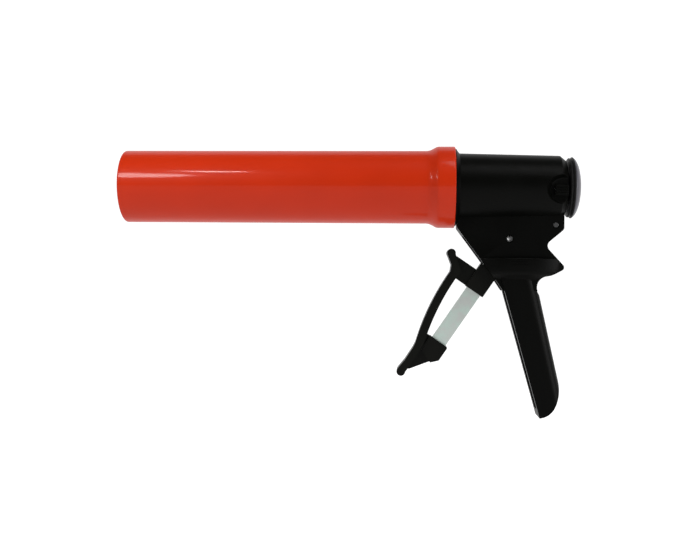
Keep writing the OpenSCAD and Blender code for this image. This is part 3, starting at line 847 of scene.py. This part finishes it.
@dataclass
class Housing(SubAssembly):
    """The moulded body with its cover, its bearings and its fasteners."""

    screw_circle_r: float = 18.0
    head_r: float = 2.1
    head_t: float = 1.6
    sink: float = 0.2
    # The cross recess: its arms' width, how far from the head's edge they end, and its depth
    slot_w: float = 0.7
    slot_end: float = 0.7
    slot_depth: float = 0.9
    screw_angles: tuple[float, ...] = (30.0, 150.0, 210.0, 330.0)
    # The widest chance turn of a screw, in radians, and the turns' seed
    spin: float = 1.5
    seed: int = 7
    roundings: tuple[Rounding, ...] = (
        Rounding("housing", Body.FRAME, Slot.BLACK_NYLON, 0.4, steps=3),
        Rounding("rear_cover", Body.FRAME, Slot.BLACK_NYLON, 0.25),
        Rounding("front_bearing_plate", Body.FRAME, Slot.DIE_CAST, 0.3),
        Rounding("front_bush", Body.FRAME, Slot.BRONZE, 0.2),
        Rounding("rear_bush", Body.FRAME, Slot.BRONZE, 0.2),
        Rounding("retaining_ring", Body.FRAME, Slot.SPRING_STEEL, 0.12),
    )

    def screw(self) -> bpy.types.Object:
        """A pan-headed cover screw with a cross recess, its head's outer face at x = 0.

        Returns:
            The screw's head.
        """
        head = lathe("screw_model", soften([
            (0.0, 0.0, 0.0), (self.head_r, 0.0, 0.45), (self.head_r, -self.head_t, 0.1),
            (0.0, -self.head_t, 0.0),
        ], steps=4), sides=40)
        narrow, wide = self.slot_w / 2, self.head_r - self.slot_end
        for name, half in (("across", (narrow, wide)), ("along", (wide, narrow))):
            bm = bmesh.new()
            # Each side lies 1 mm from the middle, so it scales by half sizes in mm
            bmesh.ops.create_cube(bm, size=2 * MM)
            bmesh.ops.scale(bm, vec=(self.slot_depth, *half), verts=bm.verts[:])
            mesh = bpy.data.meshes.new(name)
            bm.to_mesh(mesh)
            bm.free()
            cutter = new_piece(name, mesh)
            cut = head.modifiers.new(name, "BOOLEAN")
            cut.object, cut.operation, cut.solver = cutter, "DIFFERENCE", "EXACT"
            applied(head)
            bpy.data.objects.remove(cutter)
        return head

    def build(self) -> None:
        """Makes the body, its cover, the front plate, the bushes, the ring and the screws."""
        self.round_nodes()
        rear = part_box("rear_cover")[1].x - self.sink * MM
        turns = [math.radians(angle) for angle in self.screw_angles]
        radius = self.screw_circle_r * MM
        places = [Vector((rear, radius * math.cos(a), radius * math.sin(a))) for a in turns]
        screws = scattered("cover_screws", self.screw(), places, self.spin, self.seed,
                           self.paint(Slot.BLACK_SCREW))
        self.settle(screws, Body.FRAME, Slot.BLACK_SCREW, "rear_cover_screws")


@dataclass
class Drive(SubAssembly):
    """What pushes the rod: the drive plates and their return spring."""

    wire: float = 1.8
    turns: float = 7.0
    # How much shorter the spring is at the end of the stroke
    travel: float = 6.95
    roundings: tuple[Rounding, ...] = (
        Rounding("drive_plates", Body.DRIVER, Slot.ZINC_PLATE, 0.25),
    )

    def build(self) -> None:
        """Makes the plates and the spring."""
        self.round_nodes()
        low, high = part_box("return_spring")
        spring = coil("drive_spring", high.y, self.wire * MM, low.x, high.x, self.turns,
                      self.paint(Slot.SPRING_STEEL))
        self.settle(spring, Body.FRAME, Slot.SPRING_STEEL, "return_spring")
        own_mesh(spring)


@dataclass
class Brake(SubAssembly):
    """The plate that holds the rod, its spring, its pin and the two thumb pads."""

    wire: float = 1.2
    turns: float = 5.0
    # How much shorter the spring is with the pads pressed
    travel: float = 2.3
    roundings: tuple[Rounding, ...] = (
        Rounding("brake_plate", Body.RELEASE, Slot.ZINC_PLATE, 0.25),
        Rounding("release_pad_left", Body.RELEASE, Slot.BLACK_NYLON, 0.15),
        Rounding("release_pad_right", Body.RELEASE, Slot.BLACK_NYLON, 0.15),
        Rounding("brake_pin", Body.FRAME, Slot.PIN_STEEL, 0.2),
    )

    def build(self) -> None:
        """Makes the plate, the pads, the pin and the spring."""
        self.round_nodes()
        low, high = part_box("brake_spring")
        spring = coil("release_spring", high.y, self.wire * MM, low.x, high.x, self.turns,
                      self.paint(Slot.SPRING_STEEL))
        self.settle(spring, Body.FRAME, Slot.SPRING_STEEL, "brake_spring")
        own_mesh(spring)


@dataclass
class Rod(SubAssembly):
    """The push rod with its piston in front and its knob behind."""

    knob_r: float = 22.5
    hub_r: float = 9.0
    well_r: float = 8.0
    rim_t: float = 3.4
    seat_h: float = 1.2
    seat_in: float = 5.0
    # How far behind the face the web under the screw's head starts, and its thickness
    web: tuple[float, float] = (2.4, 1.4)
    # The rim's corners: how far inside the knob's radius, how far behind its face, the rounding
    rim: tuple[Corner, ...] = ((1.2, 0.0, 0.9), (0.5, 0.9, 0.5), (1.8, 1.75, 0.4), (0.0, 2.6, 0.5))
    bore_r: float = 4.0
    screw_r: float = 2.05
    cap_t: float = 2.0
    cap_gap: float = 0.5
    # The cap's height falls off as (1 - (r / rim) ** first) ** second
    dome_powers: tuple[float, float] = (2.4, 0.62)
    dome_steps: int = 40
    sides: int = 160
    roundings: tuple[Rounding, ...] = (
        Rounding("push_rod", Body.ROD, Slot.ROD_STEEL, 0.5),
        Rounding("piston_disc", Body.ROD, Slot.ZINC_PLATE, 0.5),
        Rounding("piston_washers", Body.ROD, Slot.ZINC_PLATE, 0.2),
        Rounding("piston_nut", Body.ROD, Slot.ZINC_PLATE, 0.3),
        Rounding("knob_screw", Body.ROD, Slot.ZINC_PLATE, 0.2),
    )

    def knob_outline(self, face: float, front: float) -> list[Point2]:
        """The knob's section.

        Args:
            face: x of the knob's front face, in mm.
            front: x of its hub's end.

        Returns:
            (radius, x) points in mm.
        """
        r, back = self.knob_r, face + self.rim_t
        floor, well = face + self.web[0], face + sum(self.web)
        seat_r, seat = r - self.seat_in, back + self.seat_h
        return soften([
            (self.bore_r, front, 0.2), (self.hub_r, front, 0.3), (self.hub_r, face, 0.5),
            *((r - inside, face + behind, reach) for inside, behind, reach in self.rim),
            (r, back, 0.35), (seat_r, back, 0.2), (seat_r, seat, 0.3), (self.well_r, seat, 0.3),
            (self.well_r, well, 0.3), (self.screw_r, well, 0.1), (self.screw_r, floor, 0.1),
            (self.bore_r, floor, 0.1),
        ], steps=4)

    def cap_outline(self, seat: float, tip: float) -> list[Point2]:
        """The domed cap's section.

        Args:
            seat: x of its rim.
            tip: x of its highest point.

        Returns:
            (radius, x) points in mm.
        """
        edge, height, steps = self.knob_r - self.cap_gap, tip - seat, self.dome_steps
        flat, full = self.dome_powers
        outer = [edge * math.cos(math.pi / 2 * i / steps) for i in range(steps)] + [0.0]
        inner = [r * (edge - self.cap_t) / edge for r in reversed(outer)]

        def dome(r: float, rim: float, rise: float) -> float:
            """x of a dome of that rim and rise, at radius r."""
            return seat + rise * max(0.0, 1 - (r / rim) ** flat) ** full

        return [(r, dome(r, edge, height)) for r in outer] + [
            (r, dome(r, edge - self.cap_t, height - self.cap_t)) for r in inner
        ]

    def build(self) -> None:
        """Makes the rod, the piston's parts, the knob, its cap and its screw."""
        self.round_nodes()
        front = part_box("rear_knob")[0].x / MM
        seat, tip = (corner.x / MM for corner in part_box("knob_cap"))
        knob = lathe("knob_disc", self.knob_outline(seat - self.rim_t, front), self.sides)
        self.settle(knob, Body.ROD, Slot.KNOB_PLASTIC, "rear_knob")
        cap = lathe("knob_dome", self.cap_outline(seat, tip), self.sides)
        self.settle(cap, Body.ROD, Slot.CAP_PLASTIC, "knob_cap")


@dataclass
class Trigger(SubAssembly):
    """The steel lever, the moulded bow on it, and its pivot."""

    roundings: tuple[Rounding, ...] = (
        Rounding("trigger_lever", Body.TRIGGER, Slot.LEVER_STEEL, 0.35),
        Rounding("trigger_grip", Body.TRIGGER, Slot.GRIP_PLASTIC, 0.6, steps=3),
        Rounding("trigger_pivot_pin", Body.FRAME, Slot.PIN_STEEL, 0.2),
        Rounding("pivot_spacers", Body.FRAME, Slot.NATURAL_NYLON, 0.15),
    )

    def build(self) -> None:
        """Makes the lever, the bow, the pivot pin and the spacers."""
        self.round_nodes()


# ---- Studio ----


@dataclass(frozen=True)
class Softbox:
    """A soft area light that faces a point, in metres, watts and degrees."""

    name: str
    at: tuple[float, float, float]
    aim: tuple[float, float, float]
    size: tuple[float, float]
    power: float
    spread: float = 180.0
    oval: bool = False
    mirrored: bool = True

    def hang(self) -> None:
        """Adds the light to the scene."""
        data = bpy.data.lights.new(self.name, "AREA")
        data.shape = "ELLIPSE" if self.oval else "RECTANGLE"
        data.size, data.size_y = self.size
        data.energy = self.power
        data.spread = math.radians(self.spread)
        lamp = bpy.data.objects.new(self.name, data)
        bpy.context.scene.collection.objects.link(lamp)
        way = Vector(self.aim) - Vector(self.at)
        lamp.location = self.at
        lamp.rotation_euler = way.to_track_quat("-Z", "Y").to_euler()
        lamp.visible_camera = False
        lamp.visible_glossy = self.mirrored


@dataclass(frozen=True)
class Studio:
    """The camera, the lights and the pale sweep behind the gun, in metres and degrees."""

    eye: tuple[float, float, float] = (0.2153, -0.6957, -0.0645)
    # The camera's yaw from +Y towards +X, its pitch and its roll
    turn: tuple[float, float, float] = (-3.67, -0.42, 0.52)
    # Focal length and sensor width, in millimetres
    lens: float = 47.76
    sensor: float = 36.0
    clip: tuple[float, float] = (0.01, 20.0)
    floor_z: float = -0.174
    wall_y: float = 1.7
    wall_top: float = 3.0
    bend: float = 0.5
    bend_steps: int = 12
    half_width: float = 8.0
    ambient: float = 0.04
    # The sweep's darkest and lightest tone, and how wide its blotches are
    paper: tuple[float, float] = (0.24, 0.26)
    paper_blotch: float = 0.3
    paper_roughness: float = 0.9
    glow: float = 0.96
    boxes: tuple[Softbox, ...] = (
        Softbox("above", (0.2, -0.26, 0.8), (0.2, 0.0, -0.03), (1.0, 0.4), 4.3, mirrored=False),
        Softbox("body_sheen", (0.43, -0.34, 0.62), (0.29, 0.0, 0.0), (0.26, 0.34), 0.36,
                spread=90.0),
        Softbox("rear_rim", (0.85, -0.3, -0.02), (0.32, 0.0, -0.06), (0.25, 0.6), 0.9,
                spread=90.0),
        Softbox("muzzle_gleam", (-0.175, -0.42, 0.25), (-0.01, -0.01, 0.01), (0.17, 0.12), 0.26,
                spread=80.0, oval=True),
        Softbox("side_gleam", (-0.055, -0.36, 0.335), (0.065, -0.01, 0.01), (0.1, 0.014), 0.06,
                spread=80.0, oval=True),
    )

    def camera(self) -> None:
        """Adds the camera and makes it the scene's own."""
        yaw, pitch, roll = (math.radians(angle) for angle in self.turn)
        level = math.cos(pitch)
        ahead = Vector((math.sin(yaw) * level, math.cos(yaw) * level, math.sin(pitch)))
        right = Vector((math.cos(yaw), -math.sin(yaw), 0.0))
        up = right.cross(ahead)
        side = right * math.cos(roll) + up * math.sin(roll)
        top = up * math.cos(roll) - right * math.sin(roll)
        data = bpy.data.cameras.new("camera")
        data.sensor_width, data.lens = self.sensor, self.lens
        data.clip_start, data.clip_end = self.clip
        eye = bpy.data.objects.new("camera", data)
        bpy.context.scene.collection.objects.link(eye)
        turn = Matrix((side, top, -ahead)).transposed().to_4x4()
        eye.matrix_world = Matrix.Translation(Vector(self.eye)) @ turn
        bpy.context.scene.camera = eye

    def sweep(self) -> None:
        """Adds the floor that curves up into the wall behind."""
        section = [(-self.half_width, self.floor_z), (self.wall_y - self.bend, self.floor_z)]
        for k in range(1, self.bend_steps + 1):
            a = math.pi / 2 * k / self.bend_steps
            section.append((self.wall_y - self.bend * (1 - math.sin(a)),
                            self.floor_z + self.bend * (1 - math.cos(a))))
        section.append((self.wall_y, self.wall_top))
        ends = (-self.half_width, self.half_width)
        verts = [(x, y, z) for y, z in section for x in ends]
        faces = [(2 * i, 2 * i + 1, 2 * i + 3, 2 * i + 2) for i in range(len(section) - 1)]
        mesh = bpy.data.meshes.new("sweep")
        mesh.from_pydata(verts, [], faces)
        mesh.shade_smooth()
        made = bpy.data.materials.new("studio_paper")
        made.use_nodes = True
        graph = Graph(made.node_tree)
        dark, light = (tint((1.0, 1.0, 1.0), tone) for tone in self.paper)
        surface = graph.node("ShaderNodeBsdfPrincipled", None, {
            "Base Color": graph.mix(graph.noise(graph.place(), self.paper_blotch), dark, light),
            "Roughness": self.paper_roughness,
            "Emission Color": tint((1.0, 1.0, 1.0)),
            "Emission Strength": self.glow,
        })
        graph.node("ShaderNodeOutputMaterial", None, {"Surface": surface}, out=None)
        mesh.materials.append(made)
        new_piece("sweep", mesh)

    def world(self) -> None:
        """Fills the room with a dim even light."""
        world = bpy.data.worlds.new("room")
        world.use_nodes = True
        backdrop = world.node_tree.nodes["Background"]
        backdrop.inputs["Color"].default_value = tint((1.0, 1.0, 1.0), self.ambient)
        bpy.context.scene.world = world

    def build(self) -> None:
        """Sets up the camera, the backdrop, the lights and the plain colour view."""
        self.camera()
        self.sweep()
        self.world()
        for box in self.boxes:
            box.hang()
        bpy.context.scene.view_settings.view_transform = "Standard"
        LOG.info("studio: %d lights", len(self.boxes))


FINISHES: dict[Slot, Finish] = {
    Slot.BARREL_PAINT: PowderCoat((0.43, 0.0205, 0.0022), 0.42),
    Slot.BLACK_NYLON: Moulded((0.0010, 0.0011, 0.0008), 0.42, grain_depth=0.006 * MM),
    Slot.GRIP_PLASTIC: Moulded((0.0024, 0.0026, 0.0018), 0.4, sheen=0.1),
    Slot.KNOB_PLASTIC: Moulded((0.012, 0.012, 0.012), 0.4),
    Slot.CAP_PLASTIC: Moulded((0.062, 0.06, 0.072), 0.36, sheen=0.3, wear=0.0),
    Slot.NATURAL_NYLON: Moulded((0.62, 0.58, 0.46), 0.45, wear=0.0),
    Slot.DIE_CAST: Metal((0.42, 0.42, 0.43), 0.5, stretch=(1.0, 1.0, 1.0), line_size=0.6 * MM),
    Slot.BRONZE: Sintered((0.52, 0.33, 0.15), 0.42),
    Slot.SPRING_STEEL: Metal((0.36, 0.36, 0.38), 0.3),
    Slot.ZINC_PLATE: Metal((0.62, 0.64, 0.66), 0.33, bloom=(0.62, 0.58, 0.34)),
    Slot.LEVER_STEEL: Metal(
        (0.64, 0.68, 0.65), 0.34, stretch=(1.0, 1.0, 0.06), bloom=(0.6, 0.78, 0.7)
    ),
    Slot.ROD_STEEL: Metal((0.58, 0.58, 0.59), 0.2),
    Slot.PIN_STEEL: Metal((0.1, 0.1, 0.1), 0.42, stretch=(1.0, 0.1, 1.0)),
    Slot.BLACK_SCREW: Metal((0.05, 0.05, 0.055), 0.4, stretch=(1.0, 1.0, 1.0)),
}


def main() -> None:
    """Builds every sub-assembly on the frame, and the studio around it."""
    nodes = frame["nodes"]
    Studio().build()
    for kind in (Barrel, Housing, Drive, Brake, Rod, Trigger):
        part = kind(nodes, FINISHES)
        part.build()
        LOG.info("%s: %d pieces", kind.__name__, part.count)


if __name__ == "__main__":
    logging.basicConfig(level=logging.INFO, format="%(message)s")
    main()
